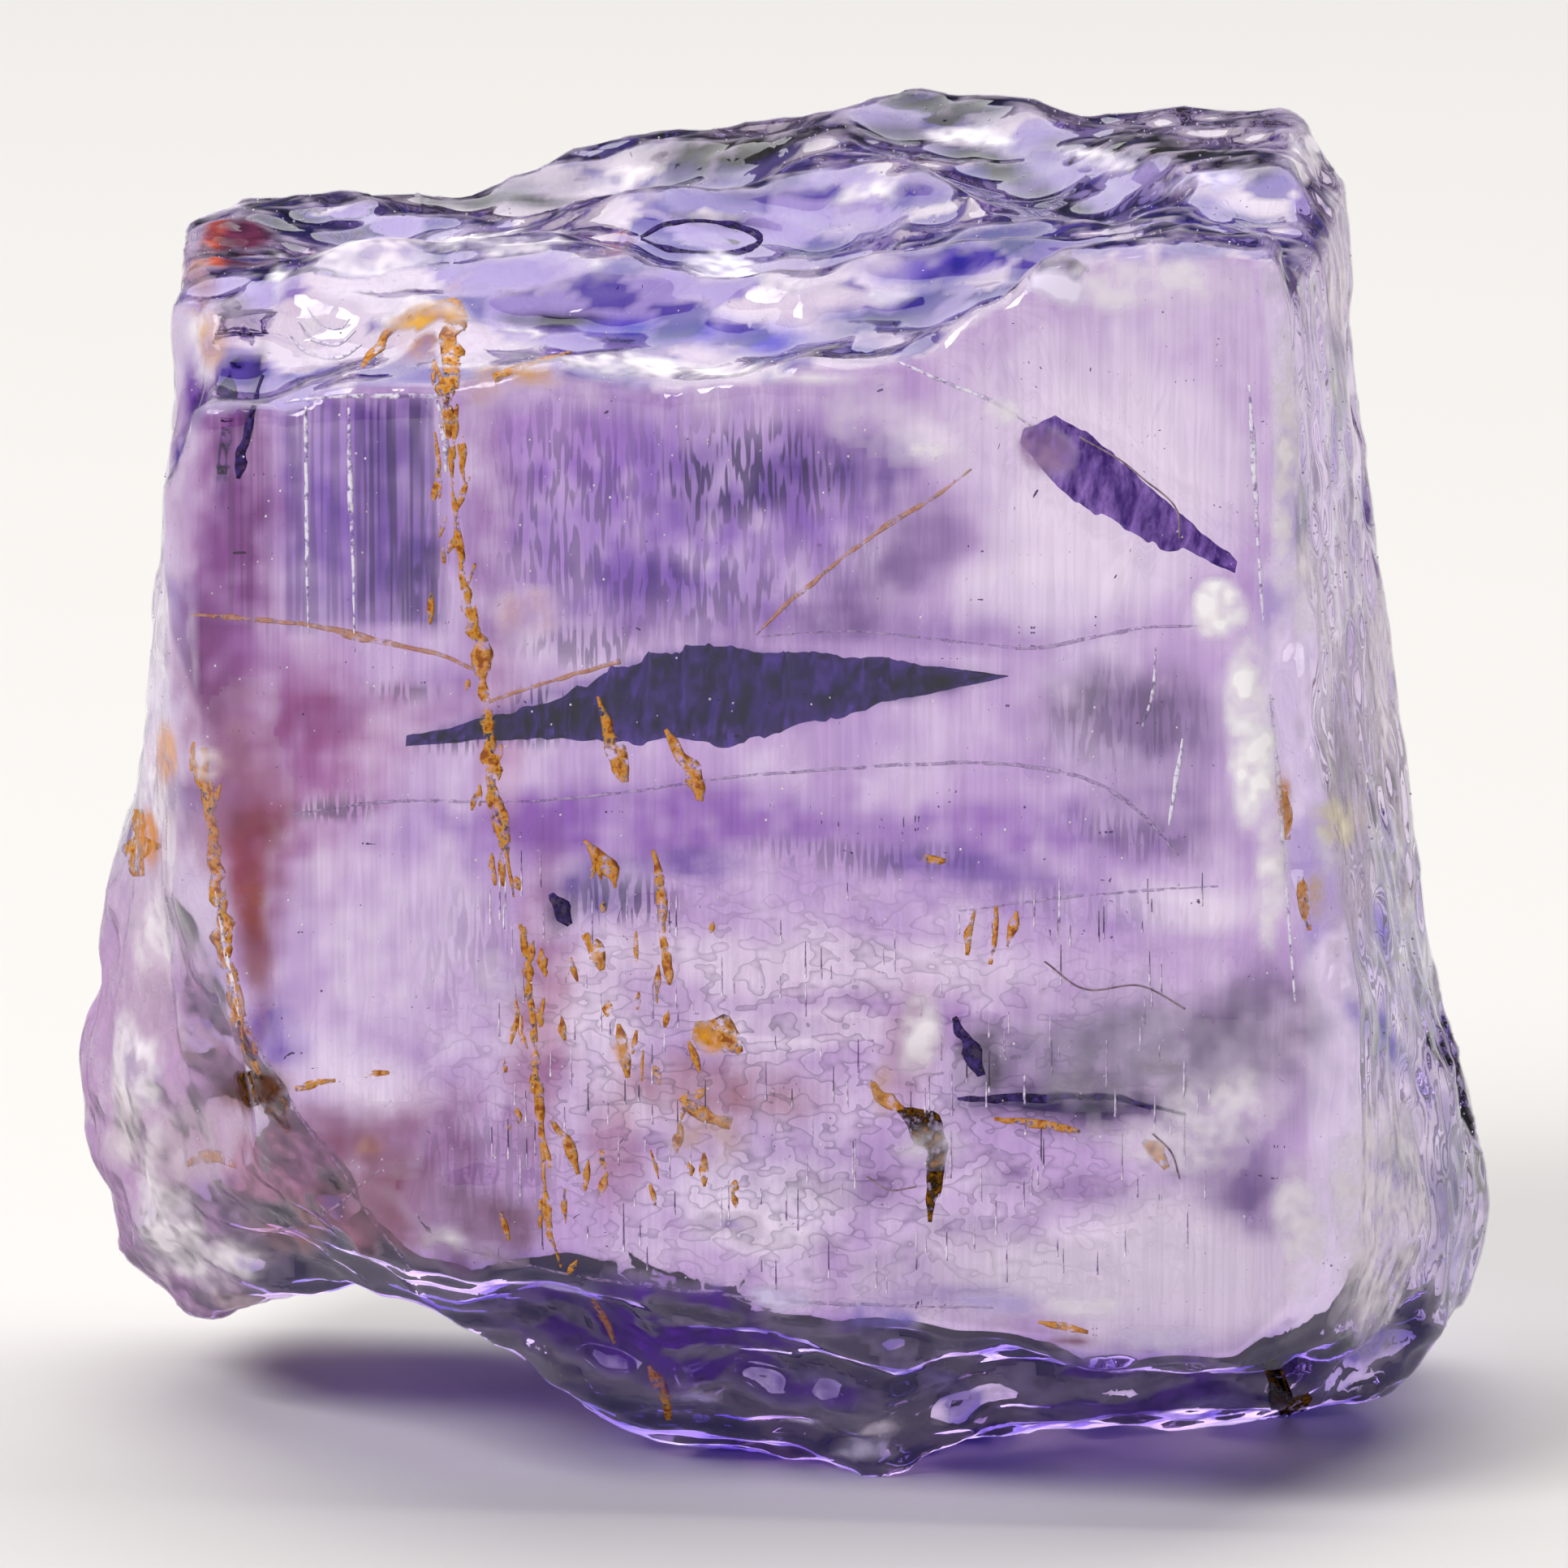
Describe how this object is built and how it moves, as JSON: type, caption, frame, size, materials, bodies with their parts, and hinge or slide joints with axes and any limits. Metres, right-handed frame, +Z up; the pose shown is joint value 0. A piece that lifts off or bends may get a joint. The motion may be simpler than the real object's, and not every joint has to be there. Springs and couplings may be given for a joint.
{
  "type": "scapolite crystal",
  "caption": "Rough violet scapolite crystal: a broken, striated, see-through prism with iron-stained cracks, standing on a small flat spot.",
  "frame": {"origin": "middle of the bounding box's bottom, on the surface that the crystal stands on", "axes": "+Z up; -Y out of the flat striated front face that the picture shows; +X to the right as seen from the front"},
  "size_m": [0.0164, 0.0092, 0.015],
  "materials": {
    "violet_scapolite": "clear pale violet crystal, satin on its striated prism faces, glassy on its fractures, with orange-brown iron oxide in its cracks"
  },
  "bodies": {
    "root": {"scapolite_crystal": "violet_scapolite"}
  },
  "joints": []
}
